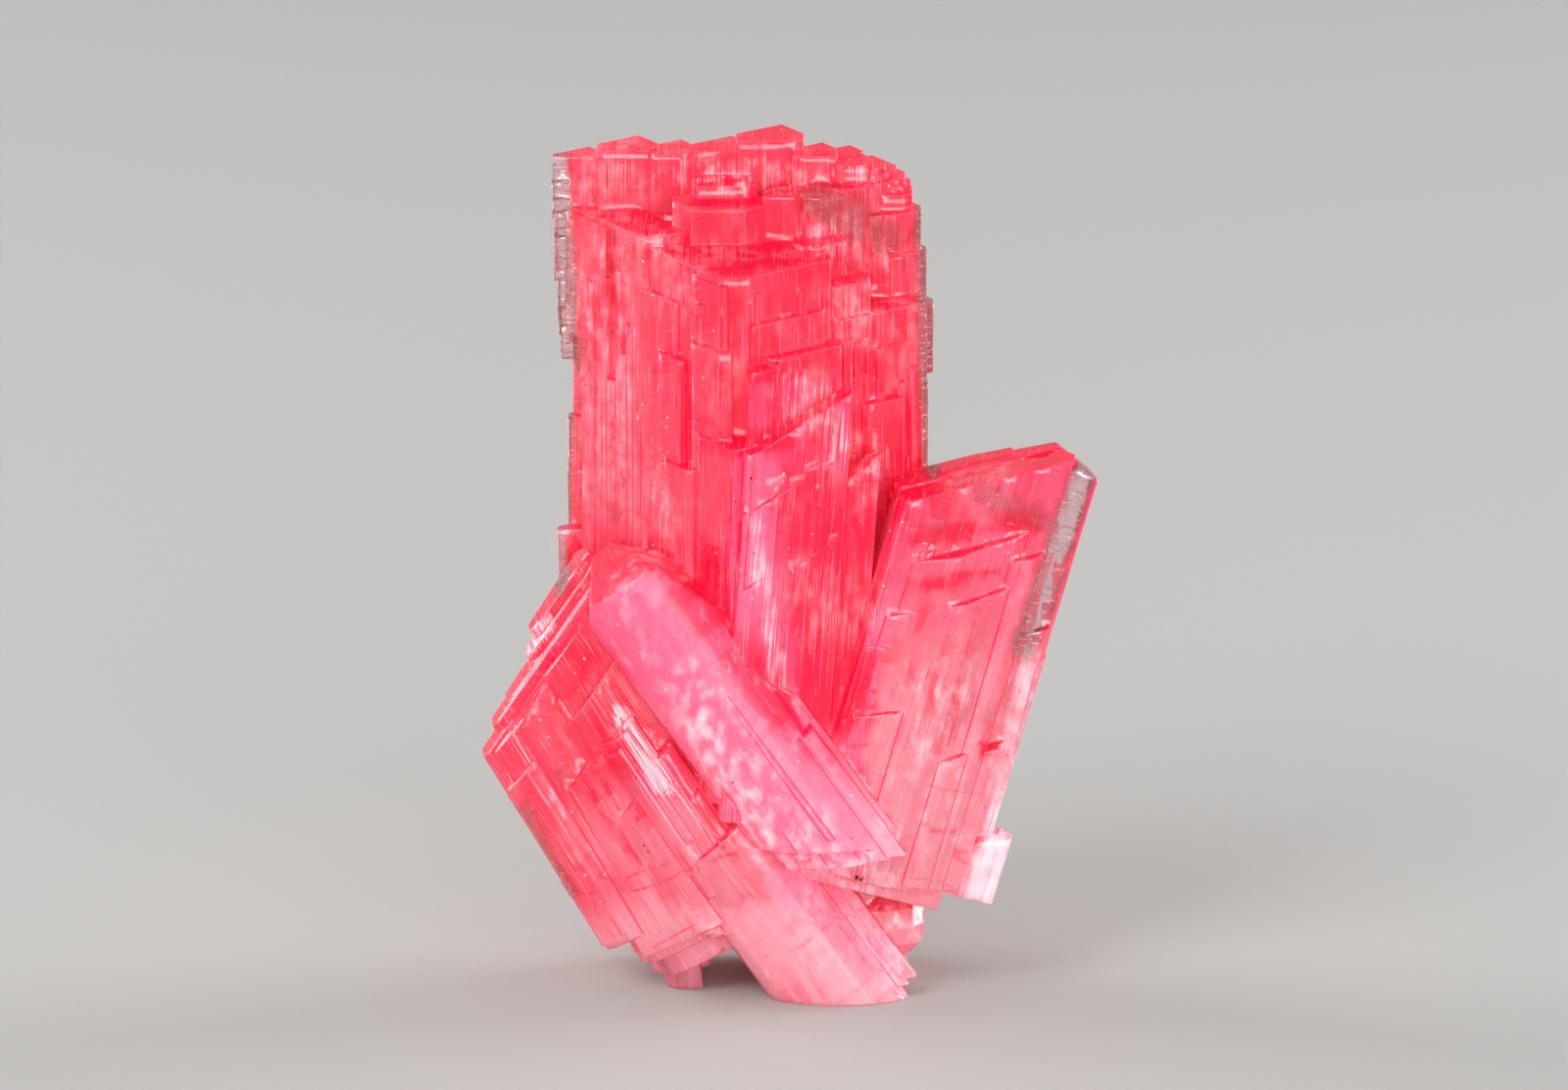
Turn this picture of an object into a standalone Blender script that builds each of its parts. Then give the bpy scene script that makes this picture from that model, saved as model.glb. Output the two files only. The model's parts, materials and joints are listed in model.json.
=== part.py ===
"""A rhodonite specimen: see-through pink-red crystals, stepped and grown together as one piece.

A broad upright crystal of parallel blades stands at the back. A frosty blade has grown up its front, one
long crystal leans to the right, a flat one and a rounded bar lean to the left, and short lobes end in the
flat cut on which the specimen stands, where it was taken off its rock.

+X is to the right, +Y goes to the back and +Z is up, with the origin at the middle of the cut's level.
Crystals are shaped in millimetres, and the finished mesh is scaled to metres.
"""

import math
import random

import bmesh
import bpy
from mathutils import Matrix, Vector

MM = 0.001
SEED = 7

# The specimen, in millimetres.
TOWER_TOP = 28.2  # front edge of the highest end faces of the upright crystal
TOWER_LEFT = -7.84
TOWER_RIGHT = 4.95
TOWER_FRONT = -3.2
TOWER_BACK = 4.1
TOWER_FOOT = 2.4
RIGHT_LENGTH = 15.2  # the crystal that leans to the right
RIGHT_WIDTH = 6.3
PLATE_WIDTH = 6.7  # the flat crystal that leans to the left
BAR_LENGTH = 12.1  # the rounded bar in front
BAR_WIDTH = 4.1

# Side faces and end faces keep the same angles throughout a crystal, in degrees.
LEFT_FACE = 44.0  # how far the left front faces turn away from the viewer
RIGHT_FACE = 26.0
END_SLOPE = 15.0  # how far the end faces dip to the front
RIGHT_END_ROLL = 27.5  # how far the right-hand crystal's end slopes down to its left
BROKEN_END_ROLL = 17.0
TAIL_ROLL = -34.0  # slant of the lower ends of the bar and of the lobe, which brings them level

RIGHT_LEAN = 16.3
PLATE_LEAN = -31.0
BAR_LEAN = -35.6
SMALL_LEAN = -33.0
BLADE_LEAN = 4.0

MISFIT = 0.35  # how far blades of one crystal may be off parallel, in degrees

RIB_WIDTH = (0.14, 0.42)
RIB_HEIGHT = (0.03, 0.10)
RIB_ROOT = 0.35  # how deep a rib reaches into the blade that it stands on
RIB_SPLAY = 0.05
SWELL_ROOT = 0.6
FLUSH = 0.02  # how far the ends of a low layer lie under the face

EDGE_TEETH = 12  # ragged steps on the upright crystal's clear left edge
SHOULDER_STEPS = 6
BROKEN_STEPS = 7
LOBE_TEETH = 4
BAR_SIDES = 11  # flats around the rounded front of the bar
LOBE_SIDES = 9
FOOT_DEPTH = 4.2  # length of the side faces of the feet

WELD = 0.001
GROUND_SIZE = 60.0

PINK_RED = (0.86, 0.08, 0.16, 1.0)


def clear_scene():
    for old in list(bpy.data.objects):
        bpy.data.objects.remove(old, do_unlink=True)


def crystal_material():
    material = bpy.data.materials.new("rhodonite")
    material.use_nodes = True
    shader = material.node_tree.nodes["Principled BSDF"]
    shader.inputs["Base Color"].default_value = PINK_RED
    shader.inputs["Roughness"].default_value = 0.12
    shader.inputs["Metallic"].default_value = 0.0
    return material


def add_form(mesh_maker, name, collection):
    """A bmesh becomes one helper object, which the union takes up later."""
    bmesh.ops.recalc_face_normals(mesh_maker, faces=mesh_maker.faces)
    mesh = bpy.data.meshes.new(name)
    mesh_maker.to_mesh(mesh)
    mesh_maker.free()
    form = bpy.data.objects.new(name, mesh)
    form.hide_render = True
    form.display_type = "WIRE"
    collection.objects.link(form)
    return form


def cut_facet(mesh_maker, point, normal):
    """Cuts a flat facet: what lies beyond the plane, on the side of its normal, goes."""
    everything = mesh_maker.verts[:] + mesh_maker.edges[:] + mesh_maker.faces[:]
    bmesh.ops.bisect_plane(
        mesh_maker, geom=everything, plane_co=point, plane_no=normal, clear_outer=True
    )
    bmesh.ops.holes_fill(mesh_maker, edges=mesh_maker.edges[:], sides=0)


def clip_outline(corners, across, deep, limit):
    """The part of a convex outline where across * x + deep * y is at most the limit."""
    kept = []
    for index, (x, y) in enumerate(corners):
        before_x, before_y = corners[index - 1]
        here = across * x + deep * y - limit
        before = across * before_x + deep * before_y - limit
        if here * before < 0.0:
            share = before / (before - here)
            kept.append((before_x + share * (x - before_x), before_y + share * (y - before_y)))
        if here <= 0.0:
            kept.append((x, y))
    return kept


class Crystal:
    """One crystal: its place, its lean, and the angles that all of its blades share."""

    def __init__(
        self,
        name,
        collection,
        rng,
        foot=(0.0, 0.0, 0.0),
        lean=0.0,
        pitch=0.0,
        turn=0.0,
        left_face=LEFT_FACE,
        right_face=RIGHT_FACE,
        end_slope=END_SLOPE,
        end_roll=0.0,
        foot_roll=0.0,
    ):
        self.name = name
        self.collection = collection
        self.rng = rng
        self.place = (
            Matrix.Translation(foot)
            @ Matrix.Rotation(math.radians(lean), 4, "Y")
            @ Matrix.Rotation(math.radians(pitch), 4, "X")
            @ Matrix.Rotation(math.radians(turn), 4, "Z")
        )
        self.left_run = math.tan(math.radians(left_face))
        self.right_run = math.tan(math.radians(right_face))
        self.end_slope = math.tan(math.radians(end_slope))
        self.end_roll = math.tan(math.radians(end_roll))
        self.foot_roll = math.tan(math.radians(foot_roll))
        self.count = 0

    def outline(self, left, right, nose, front, back, side):
        """A six-sided cross-section whose opposite faces are parallel, seen from above."""
        nose_left, nose_right = nose
        left_y = front + (nose_left - left) * self.left_run
        right_y = front + (right - nose_right) * self.right_run
        corners = [(left, front), (right, front), (right, back), (left, back)]
        # The two front faces, then the two back faces: each keeps the points where a*x + b*y <= c.
        corners = clip_outline(corners, -self.left_run, -1.0, -front - nose_left * self.left_run)
        corners = clip_outline(corners, self.right_run, -1.0, -front + nose_right * self.right_run)
        corners = clip_outline(corners, -self.right_run, 1.0, left_y + side - left * self.right_run)
        corners = clip_outline(corners, self.left_run, 1.0, right_y + side + right * self.left_run)
        return corners

    def misfit(self):
        """The slight turn by which each blade is off the others."""
        turn = Matrix.Rotation(math.radians(self.rng.uniform(-MISFIT, MISFIT)), 4, "Z")
        nod = Matrix.Rotation(math.radians(self.rng.uniform(-MISFIT, MISFIT)), 4, "X")
        return nod @ turn

    def prism(self, outline, low, high, pivot, facets=()):
        """An outline drawn out along the crystal, its upper end cut by the slanted end face."""
        mesh_maker = bmesh.new()
        pivot_x, pivot_y = pivot
        base = mesh_maker.faces.new([mesh_maker.verts.new((x, y, low)) for x, y in outline])
        raised = bmesh.ops.extrude_face_region(mesh_maker, geom=[base])
        lifted = {item for item in raised["geom"] if isinstance(item, bmesh.types.BMVert)}
        for vert in mesh_maker.verts:
            across = vert.co.x - pivot_x
            if vert in lifted:
                vert.co.z = high + self.end_slope * (vert.co.y - pivot_y) + self.end_roll * across
            else:
                vert.co.z = low + self.foot_roll * across
        for point, normal in facets:
            cut_facet(mesh_maker, Vector(point), Vector(normal))
        mesh_maker.transform(self.place @ self.misfit())
        self.count += 1
        return add_form(mesh_maker, f"{self.name}_{self.count:03d}", self.collection)

    def blade(self, left, right, nose, front, back, low, high, side=0.5, facets=()):
        """One blade of parallel growth; high is the height of its end face at the front."""
        middle = 0.5 * (nose[0] + nose[1])
        corners = self.outline(left, right, nose, front, back, side)
        return self.prism(corners, low, high, (middle, front), facets)

    def swell(self, left, crest, right, face, rise, low, high):
        """A low layer that starts flush at its left end, rises to its crest and ends flush again.

        face is the front face that it lies on, as (x, y, slope to the right)."""
        face_x, face_y, face_slope = face

        def on_face(x):
            return face_y + (x - face_x) * face_slope

        corners = [
            (left, on_face(left) + FLUSH),
            (crest, on_face(crest) - rise),
            (right, on_face(right) + FLUSH),
            (right, on_face(right) + SWELL_ROOT),
            (left, on_face(left) + SWELL_ROOT),
        ]
        return self.prism(corners, low, high, (crest, on_face(crest) - rise))

    def ribs(self, start, end, low, high, count):
        """Fine lengthwise ribs, each ending in its own small ledge, along a face from start to end."""
        start, end = Vector(start), Vector(end)
        along = (end - start).normalized()
        outward = Vector((along.y, -along.x))
        span = (end - start).length
        rng = self.rng
        for index in range(count):
            share = (index + rng.uniform(0.15, 0.85)) / count
            centre = start + along * (span * share)
            half = 0.5 * rng.uniform(*RIB_WIDTH)
            proud = rng.uniform(*RIB_HEIGHT)
            top = high - (high - low) * rng.uniform(0.02, 0.6) ** 1.3
            bottom = low + (top - low) * rng.uniform(0.0, 0.25)
            root_left = centre - along * (half + RIB_SPLAY) - outward * RIB_ROOT
            root_right = centre + along * (half + RIB_SPLAY) - outward * RIB_ROOT
            crest_left = centre - along * half + outward * proud
            crest_right = centre + along * half + outward * (proud * rng.uniform(0.4, 1.0))
            corners = [root_left, crest_left, crest_right, root_right]
            self.prism([tuple(c) for c in corners], bottom, top, tuple(centre))


def tower(collection, rng):
    """The broad upright crystal: parallel blades in three rows, lower ledges in front of higher ones."""
    crystal = Crystal("tower", collection, rng)

    # The body that all of its blades grow on.
    crystal.blade(-6.9, 4.75, (-2.4, -1.0), TOWER_FRONT + 0.25, 3.4, TOWER_FOOT, 21.6)
    crystal.blade(-6.2, 3.6, (-2.6, -1.2), -0.9, 3.2, 6.0, 25.6)

    # The back row, whose peaks and valleys are the crest.
    crest = [
        # left, right, front, back and height above the tower's top
        (TOWER_LEFT + 1.50, -4.25, 1.30, 3.35, 0.44),
        (-4.75, -2.88, 1.35, 3.50, 0.32),
        (-3.20, -1.05, 1.05, 3.85, 0.46),
        (-1.62, 0.70, 0.90, TOWER_BACK, 0.84),
        (0.30, 1.85, 0.85, 3.60, 0.36),
        (1.30, 2.72, 1.00, 3.25, 0.24),
    ]
    for left, right, front, back, rise in crest:
        nose = (left + 0.12, right - 0.3)
        crystal.blade(left, right, nose, front, back, 12.0, TOWER_TOP + rise)

    # The crest rounds off to the right in narrow steps.
    for step in range(SHOULDER_STEPS):
        share = (step + 1) / SHOULDER_STEPS
        right = 2.6 + 1.80 * math.sin(0.5 * math.pi * share)
        drop = 1.05 * (1.0 - math.cos(0.5 * math.pi * share))
        high = TOWER_TOP + 0.08 - drop
        back = 3.1 - 1.2 * share
        crystal.blade(right - 1.3, right, (right - 1.1, right - 0.3), 0.75, back, 10.0, high)

    # Thin clear strips down the left edge: each hangs free at its lower end.
    crystal.blade(TOWER_LEFT, -6.1, (-7.8, -6.4), 1.62, 3.1, 24.1, TOWER_TOP + 0.2, side=0.2)
    crystal.blade(-7.70, -6.2, (-7.66, -6.5), 1.55, 2.9, 22.6, 26.5, side=0.2)
    crystal.blade(-7.58, -6.2, (-7.54, -6.5), 1.52, 2.8, 21.4, 24.5, side=0.2)
    crystal.blade(-7.36, -6.2, (-7.34, -6.6), 1.05, 2.4, 15.6, 19.45, side=0.3)
    crystal.blade(-7.72, -6.3, (-7.70, -6.7), 0.75, 2.3, 12.6, 15.6, side=0.3)
    for tooth in range(EDGE_TEETH):
        low = 21.7 + 0.5 * tooth + rng.uniform(-0.1, 0.1)
        out = -7.60 - 0.022 * tooth + rng.uniform(-0.07, 0.02)
        nose = (out + 0.03, out + 0.3)
        crystal.blade(out, out + 0.6, nose, 1.57, 2.3, low, low + rng.uniform(0.18, 0.4), side=0.2)

    # Clear strips on the right edge widen downwards.
    right_steps = [
        (4.70, 26.6, 12.0),
        (4.88, 25.2, 11.5),
        (5.12, 23.4, 21.1),
        (TOWER_RIGHT, 20.6, 11.0),
    ]
    for right, high, low in right_steps:
        crystal.blade(right - 1.5, right, (right - 1.2, right - 0.9), 0.2, 1.6, low, high, side=0.35)

    # The middle row, between the crest and the front corner.
    crystal.blade(-7.42, -6.0, (-5.9, -5.7), -0.25, 1.7, 22.3, 26.2, side=0.4)
    crystal.blade(-7.16, -3.4, (-4.78, -4.2), -0.78, 1.7, 5.0, 26.05, side=0.4)
    crystal.blade(-3.75, -0.6, (-3.1, -1.3), -0.55, 1.6, 10.0, 26.95)
    crystal.blade(-3.1, -0.9, (-2.9, -1.3), 0.25, 1.8, 10.0, 27.6)
    crystal.blade(-0.72, 0.62, (-0.70, 0.3), -0.40, 1.6, 10.0, 27.35)
    crystal.blade(0.50, 3.95, (0.9, 1.15), -0.35, 2.4, 9.0, 27.35)
    crystal.blade(0.35, 2.15, (0.6, 1.3), -0.95, 0.6, 9.0, 25.75)
    crystal.blade(2.85, 4.22, (2.95, 3.1), 0.25, 1.6, 9.0, 26.55)
    crystal.blade(1.25, 2.95, (1.6, 1.9), -1.45, 0.4, 9.0, 24.45)
    crystal.blade(1.2, 4.9, (1.7, 2.0), -1.65, 1.2, 8.0, 23.3)

    # The front corner, a tall block with a broad end face.
    crystal.blade(-4.59, 1.62, (-2.14, -1.17), TOWER_FRONT, 0.5, 4.0, 25.05)
    crystal.blade(-3.02, -1.85, (-2.16, -1.95), TOWER_FRONT - 0.16, -1.2, 5.0, 24.72)

    # Lower ledges on its left face and on its right face.
    crystal.blade(-4.85, -3.45, (-3.62, -3.5), -2.02, -0.3, 6.0, 23.95)
    crystal.blade(-4.2, -3.3, (-3.5, -3.4), -2.35, -0.8, 6.0, 22.05)
    crystal.blade(-4.0, -2.85, (-3.28, -2.9), -2.75, -0.9, 6.0, 18.4)
    crystal.blade(-3.1, -1.7, (-2.2, -1.75), TOWER_FRONT - 0.42, -1.4, 7.0, 22.5)
    crystal.blade(-1.12, 1.40, (-1.06, -1.0), TOWER_FRONT - 0.12, -1.2, 6.0, 23.4)
    crystal.blade(-0.62, 1.98, (-0.5, -0.1), TOWER_FRONT - 0.1, -0.9, 6.0, 22.3)
    crystal.blade(-1.24, -0.15, (-1.2, -1.0), TOWER_FRONT - 0.5, -1.4, 7.0, 21.95)
    crystal.blade(-2.88, 0.2, (-1.75, -1.6), TOWER_FRONT - 0.95, -1.0, 7.0, 19.35)
    crystal.blade(0.9, 3.3, (1.1, 1.4), -2.05, 0.0, 7.0, 21.2)
    crystal.blade(2.6, 4.1, (2.8, 3.0), -1.55, 0.4, 7.0, 20.4)

    crystal.ribs((-6.9, 0.75), (-4.8, -0.72), 10.5, 25.6, 14)
    crystal.ribs((-4.5, -0.98), (-2.3, -3.05), 10.0, 24.4, 14)
    crystal.ribs((-0.9, TOWER_FRONT + 0.12), (1.5, -1.9), 16.0, 24.6, 11)
    crystal.ribs((2.1, -1.6), (4.7, -0.33), 10.0, 22.8, 14)
    crystal.ribs((1.3, -0.25), (3.8, 0.95), 20.0, 26.9, 10)


def tower_rear(collection, rng):
    """The back of the upright crystal, stepped like its front but plainer."""
    crystal = Crystal("tower_rear", collection, rng, foot=(-1.6, 0.6, 0.0), turn=180.0, end_slope=-9.0)
    layers = [
        # left, right, nose, how far it stands out, foot and top
        (-5.2, 3.9, (-1.2, 0.3), -3.6, 3.1, 24.9),
        (-3.6, 4.6, (0.3, 1.4), -3.9, 4.6, 20.9),
        (-2.6, 1.9, (-0.8, -0.3), -4.4, 3.4, 22.6),
        (-5.6, -1.2, (-3.6, -3.1), -3.7, 5.3, 18.4),
        (0.2, 3.2, (1.6, 2.0), -4.6, 4.1, 16.7),
        (-3.9, -0.6, (-2.4, -1.9), -4.6, 2.6, 14.3),
        (-1.6, 0.9, (-0.5, -0.1), -4.75, 3.0, 10.2),
        (2.0, 4.7, (3.0, 3.3), -3.6, 5.8, 12.6),
    ]
    for left, right, nose, front, low, high in layers:
        crystal.foot_roll = rng.uniform(-0.5, 0.5)
        crystal.blade(left, right, nose, front, 0.5, low, high)
    crystal.ribs((-4.6, -1.6), (-1.6, -3.9), 6.0, 23.0, 10)
    crystal.ribs((-1.1, -3.6), (0.2, -3.6), 18.0, 24.5, 4)
    crystal.ribs((0.6, -4.1), (4.0, -2.4), 6.0, 21.0, 10)


def front_blade(collection, rng):
    """A frosty blade that has grown up the front of the tower, its end face steep to the left."""
    crystal = Crystal(
        "front_blade",
        collection,
        rng,
        foot=(-1.75, 0.0, 9.6),
        lean=BLADE_LEAN,
        left_face=60.0,
        right_face=19.0,
        end_slope=12.0,
        end_roll=31.0,
    )
    crystal.blade(-0.22, 3.3, (0.0, 0.3), -4.5, -1.9, -3.0, 9.75, side=0.5)
    crystal.blade(2.3, 4.4, (2.6, 2.8), -3.45, -1.6, -3.0, 8.4, side=0.5)
    face = (0.3, -4.5, crystal.right_run)
    crystal.swell(-0.1, 1.0, 2.6, face, 0.16, -3.0, 8.3)
    crystal.swell(0.6, 2.2, 3.2, face, 0.14, -3.0, 6.2)
    crystal.swell(-0.15, 0.3, 1.2, face, 0.18, -3.0, 5.2)
    crystal.ribs((0.1, -4.5), (3.1, -3.55), -1.0, 9.6, 12)


def right_crystal(collection, rng):
    """The long crystal that leans to the right: a block in front of a wider, thin clear plate."""
    half = 0.5 * RIGHT_WIDTH
    crystal = Crystal(
        "right",
        collection,
        rng,
        foot=(3.0, -2.3, 4.0),
        lean=RIGHT_LEAN,
        left_face=58.0,
        right_face=9.0,
        end_slope=13.0,
        end_roll=RIGHT_END_ROLL,
    )
    # Front block, its narrow left face turned away.
    crystal.blade(-2.95, 2.45, (-2.62, -2.3), -1.15, 0.9, -0.3, 13.35)
    # The clear plate behind it, wider to the right, its corner bevelled.
    corner = ((half - 0.75, 0.0, RIGHT_LENGTH + 0.72), (0.41, 0.0, 0.91))
    crystal.blade(-half + 0.1, half + 0.05, (-2.9, -2.5), 0.0, 1.3, 0.9, 13.55, facets=[corner])
    crystal.blade(-half + 0.25, 0.5, (-2.7, -2.4), 0.35, 1.5, 1.5, 13.75)
    crystal.blade(1.5, half + 0.34, (1.9, 2.1), 0.25, 1.45, 6.5, 15.2, facets=[corner])
    crystal.blade(1.6, half + 0.40, (1.9, 2.1), 0.2, 1.4, 1.4, 8.2)
    crystal.blade(2.2, half + 0.2, (2.3, 2.4), 0.1, 1.2, 1.0, 9.55)
    # Low layers across the front, each ending in a ledge.
    face = (-2.3, -1.15, crystal.right_run)
    crystal.swell(-1.95, -0.5, 1.85, face, 0.60, 0.2, 11.9)
    crystal.swell(-2.45, 0.3, 2.35, face, 0.74, 0.2, 10.45)
    crystal.swell(-2.6, -0.9, 0.5, face, 0.62, 0.2, 6.2)
    crystal.swell(1.1, 2.0, 2.44, face, 0.34, 0.4, 12.45)
    crystal.swell(0.1, 1.3, 2.40, face, 0.70, 0.4, 5.0)
    crystal.blade(2.0, 3.0, (2.3, 2.5), -0.45, 0.4, 0.5, 5.5)
    # The broken lower right corner.
    crystal.end_roll = math.tan(math.radians(BROKEN_END_ROLL))
    crystal.blade(2.2, 4.2, (2.5, 2.9), -0.35, 1.0, 0.35, 2.2)
    crystal.end_roll = math.tan(math.radians(RIGHT_END_ROLL))
    crystal.ribs((-2.5, -1.15), (2.3, -0.45), 1.0, 12.6, 15)
    crystal.ribs((-2.9, -0.6), (-2.65, -1.0), 2.0, 12.6, 2)


def right_rear(collection, rng):
    """Behind the right-hand crystal: a shorter one that shares its lean."""
    crystal = Crystal(
        "right_rear", collection, rng, foot=(3.4, 1.2, 3.0), lean=14.0, pitch=-7.0, turn=180.0, end_slope=12.0
    )
    crystal.blade(-2.4, 2.6, (-0.6, 0.4), -2.3, 1.6, 0.9, 12.2)
    crystal.blade(-2.6, 0.4, (-1.6, -1.2), -1.9, 1.6, 1.0, 9.4)
    crystal.blade(-0.4, 2.3, (0.8, 1.2), -2.6, 1.6, 0.7, 7.6)
    crystal.ribs((-2.2, -1.1), (-0.7, -2.2), 0.5, 11.0, 5)


def left_plate(collection, rng):
    """The flat crystal that leans to the left; its end is stepped and its lower end reaches the left foot."""
    half = 0.5 * PLATE_WIDTH
    crystal = Crystal(
        "plate",
        collection,
        rng,
        foot=(-3.1, -1.6, 3.0),
        lean=PLATE_LEAN,
        left_face=52.0,
        right_face=8.0,
        end_slope=13.0,
        end_roll=24.0,
        foot_roll=-6.0,
    )
    steps = [
        # left, right, front, back and height of the end face at the front's middle
        (-half, half + 0.6, -1.05, 1.7, 9.65),
        (-half + 0.8, half + 0.4, -0.95, 1.9, 10.15),
        (-1.7, half + 0.2, -0.7, 2.1, 10.4),
        (-0.35, half, -0.45, 2.2, 11.0),
        (0.15, half, -0.2, 2.3, 11.5),
    ]
    for left, right, front, back, high in steps:
        crystal.blade(left, right, (left + 0.3, right - 1.0), front, back, 0.1, high)
    # The front block and the layers on it.
    crystal.blade(-0.1, half + 0.6, (0.15, half - 0.4), -1.45, 0.6, 0.2, 10.35)
    face = (-half, -1.1, -0.02)
    crystal.swell(-2.9, -1.5, 0.4, face, 0.36, 0.3, 8.75)
    crystal.swell(-3.2, -2.2, -0.4, face, 0.44, 0.3, 7.2)
    face = (0.0, -1.45, -0.02)
    crystal.swell(-0.3, 0.9, 2.8, face, 0.25, 0.3, 8.3)
    crystal.swell(-2.2, -0.3, 2.0, face, 0.28, -0.7, 6.3)
    crystal.swell(-1.4, 0.4, 2.4, face, 0.52, -0.7, 4.4)
    # The broken edge at the lower left.
    for step in range(BROKEN_STEPS):
        low = 0.15 + 1.12 * step
        out = -half + 0.02 + 0.12 * math.sin(2.3 * step) + rng.uniform(-0.04, 0.04)
        crystal.blade(out, -1.6, (out + 0.3, out + 0.6), -0.75, 0.9, low, low + rng.uniform(0.7, 1.1))
    # Its lower end narrows towards the foot.
    crystal.blade(-2.5, 1.6, (-1.9, -1.0), -1.2, 1.8, -0.95, 3.0)
    crystal.blade(-2.1, 0.9, (-1.6, -1.0), -1.0, 1.9, -1.7, 2.0)
    crystal.ribs((-3.1, -1.12), (-0.4, -1.14), 0.8, 8.2, 7)
    crystal.ribs((-0.1, -1.45), (3.2, -1.5), 0.8, 9.6, 9)


def left_rear(collection, rng):
    """Behind the flat crystal: a shorter one that shares its lean."""
    crystal = Crystal(
        "left_rear", collection, rng, foot=(-3.4, 1.4, 2.6), lean=-24.0, pitch=-6.0, turn=180.0, end_slope=12.0
    )
    crystal.blade(-2.4, 2.5, (-0.5, 0.5), -2.4, 1.2, -0.6, 8.6)
    crystal.blade(-2.0, 0.6, (-1.0, -0.6), -2.8, 1.2, -0.6, 6.3)
    crystal.ribs((-2.2, -0.8), (-0.7, -2.2), 0.4, 7.8, 5)


def rounded_outline(width, depth, front, sides):
    """Half an ellipse in front and a flat back, as (x, y) corners."""
    corners = []
    for index in range(sides + 1):
        angle = math.pi * index / sides
        corners.append((-0.5 * width * math.cos(angle), front + depth * (1.0 - math.sin(angle))))
    corners.append((0.5 * width - 0.1, front + 1.9 * depth))
    corners.append((-0.5 * width + 0.1, front + 1.9 * depth))
    return corners


def front_bar(collection, rng):
    """The smooth rounded bar in front, with a pointed tail and frayed lower end."""
    crystal = Crystal(
        "bar",
        collection,
        rng,
        foot=(1.65, -2.9, 5.3),
        lean=BAR_LEAN,
        end_slope=20.0,
        end_roll=3.0,
        foot_roll=TAIL_ROLL,
    )
    shoulder = ((1.2, 0.0, 11.7), (0.72, 0.0, 0.69))
    upper_shoulder = ((1.75, 0.0, 9.8), (0.96, 0.0, 0.28))
    left_corner = ((-1.75, 0.0, 11.6), (-0.8, 0.0, 0.6))
    facets = [shoulder, upper_shoulder, left_corner]
    outline = rounded_outline(BAR_WIDTH, 1.55, -2.3, BAR_SIDES)
    crystal.prism(outline, 0.45, BAR_LENGTH - 0.25, (0.0, -2.3), facets)
    crystal.blade(1.0, 2.3, (1.3, 1.5), -1.5, 0.6, 0.2, 7.4, side=0.6)
    # Splinters at the lower end, each cut off level.
    splinters = [
        # left, right, front, foot, top
        (1.15, 2.12, -1.75, -1.05, 4.0),
        (0.5, 1.6, -2.0, -0.75, 4.0),
        (-0.5, 0.9, -2.1, -0.35, 4.0),
        (-1.2, 0.1, -1.9, 0.0, 4.0),
    ]
    for left, right, front, low, high in splinters:
        middle = 0.5 * (left + right)
        crystal.blade(left, right, (middle - 0.1, middle + 0.1), front, -0.2, low, high)
    crystal.ribs((-1.75, -1.35), (-0.6, -2.2), 0.5, 9.5, 4)
    crystal.ribs((0.5, -2.2), (1.7, -1.4), 0.5, 7.5, 4)


def small_crystals(collection, rng):
    """Small bright crystals that sit on the flat one, beside the bar."""
    crystal = Crystal(
        "small",
        collection,
        rng,
        foot=(-2.6, -2.9, 4.4),
        lean=SMALL_LEAN,
        left_face=40.0,
        right_face=30.0,
        end_slope=25.0,
        end_roll=14.0,
    )
    crystal.blade(-0.52, 0.94, (0.15, 0.35), -0.88, 0.6, 1.4, 5.7, side=0.4)
    crystal.blade(-0.62, 0.20, (-0.2, 0.0), -0.86, 0.6, 0.4, 5.35, side=0.4)
    crystal.blade(0.86, 1.55, (1.0, 1.2), -0.72, 0.6, -0.6, 4.4, side=0.4)
    crystal.blade(0.1, 1.3, (0.5, 0.8), -0.82, 0.6, -1.2, 3.3, side=0.4)
    crystal.ribs((-0.3, -0.75), (1.4, -0.72), -0.9, 3.4, 5)


def lower_lobe(collection, rng):
    """The rounded lobe at the lower right, parallel to the bar, with a toothed lower edge."""
    crystal = Crystal(
        "lobe",
        collection,
        rng,
        foot=(1.7, -1.9, 0.3),
        lean=BAR_LEAN,
        end_slope=15.0,
        end_roll=8.0,
        foot_roll=TAIL_ROLL,
    )
    crystal.prism(rounded_outline(3.9, 1.35, -2.1, LOBE_SIDES), -0.9, 6.6, (0.0, -2.1))
    for tooth in range(LOBE_TEETH):
        left = 0.75 + 0.36 * tooth
        low = -1.15 + 0.02 * tooth
        crystal.blade(left, left + 0.75, (left + 0.3, left + 0.45), -1.7 + 0.25 * tooth, 0.2, low, 4.2)
    crystal.ribs((-1.6, -1.35), (1.5, -1.5), 0.3, 3.8, 6)


def side_lump(collection):
    """A blunt, faceted lump under the right-hand crystal."""
    mesh_maker = bmesh.new()
    bmesh.ops.create_icosphere(mesh_maker, subdivisions=2, radius=1.0)
    squash = Matrix.Diagonal((1.45, 1.5, 1.25, 1.0))
    mesh_maker.transform(Matrix.Translation((3.55, -1.2, 2.35)) @ squash)
    for vert in mesh_maker.verts:
        vert.co.x += 0.10 * math.sin(2.9 * vert.co.z + 1.7 * vert.co.y)
        vert.co.z += 0.08 * math.sin(3.3 * vert.co.x + 2.1 * vert.co.y)
    add_form(mesh_maker, "side_lump", collection)


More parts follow.
